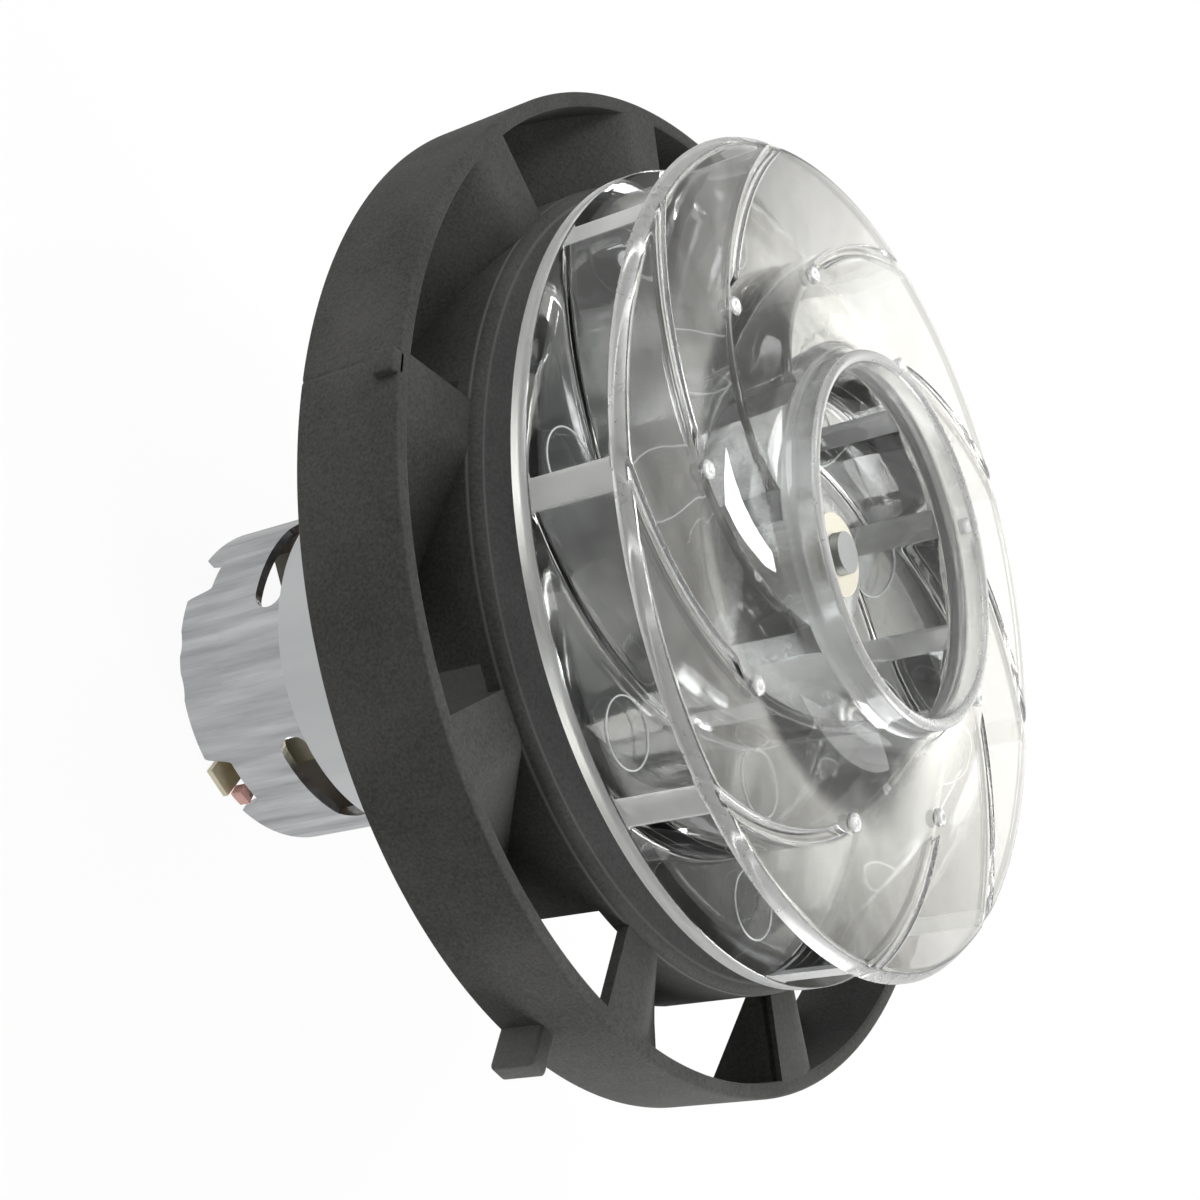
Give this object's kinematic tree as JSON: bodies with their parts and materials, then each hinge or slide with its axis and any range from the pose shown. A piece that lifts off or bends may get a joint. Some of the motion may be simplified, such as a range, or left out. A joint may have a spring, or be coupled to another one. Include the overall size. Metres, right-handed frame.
{
  "type": "vacuum motor unit",
  "caption": "Vacuum cleaner fan motor: a brushed can motor in a black carrier with guide vanes, turning a clear shrouded impeller with curved blades and an inlet eye.",
  "frame": {"origin": "on the shaft's axis, in the plane of the carrier ring's rear edge", "axes": "+Z along the shaft towards the air inlet, -Y through the carrier's locating key"},
  "size_m": [0.12, 0.1246, 0.0926],
  "materials": {
    "black_moulding": "matte",
    "plated_can": "satin",
    "plated_sleeve": "satin",
    "ferrite": "matte",
    "spring_steel": "satin",
    "sintered_bronze": "matte",
    "pale_nylon": "matte",
    "carbon": "matte",
    "copper_leaf": "satin",
    "brass_terminal": "satin",
    "red_insulator": "matte",
    "screw_steel": "satin",
    "shaft_steel": "polished",
    "core_steel": "matte",
    "copper_wire": "satin",
    "green_fibre": "matte",
    "copper_segments": "satin",
    "brown_phenolic": "matte",
    "hub_brass": "satin",
    "clear_plastic": "gloss"
  },
  "bodies": {
    "frame": {"carrier": "black_moulding", "motor_can": "plated_can", "flux_sleeve": "plated_sleeve", "magnets": "ferrite", "magnet_clips": "spring_steel", "front_bearing": "sintered_bronze", "rear_bearing": "sintered_bronze", "end_cap": "pale_nylon", "carbon_brushes": "carbon", "brush_arms": "copper_leaf", "terminals": "brass_terminal", "terminal_insulator": "red_insulator", "motor_screws": "screw_steel"},
    "rotor": {"shaft": "shaft_steel", "armature_core": "core_steel", "armature_windings": "copper_wire", "armature_insulators": "green_fibre", "commutator": "copper_segments", "commutator_hub": "brown_phenolic", "thrust_washers": "pale_nylon", "impeller_bush": "hub_brass", "impeller_disc": "clear_plastic", "impeller_shroud": "clear_plastic"}
  },
  "joints": [
    {"name": "rotor_spin", "type": "hinge", "parent": "frame", "child": "rotor", "pos_m": [0, 0, 0], "axis": [0, 0, 1], "continuous": true}
  ]
}
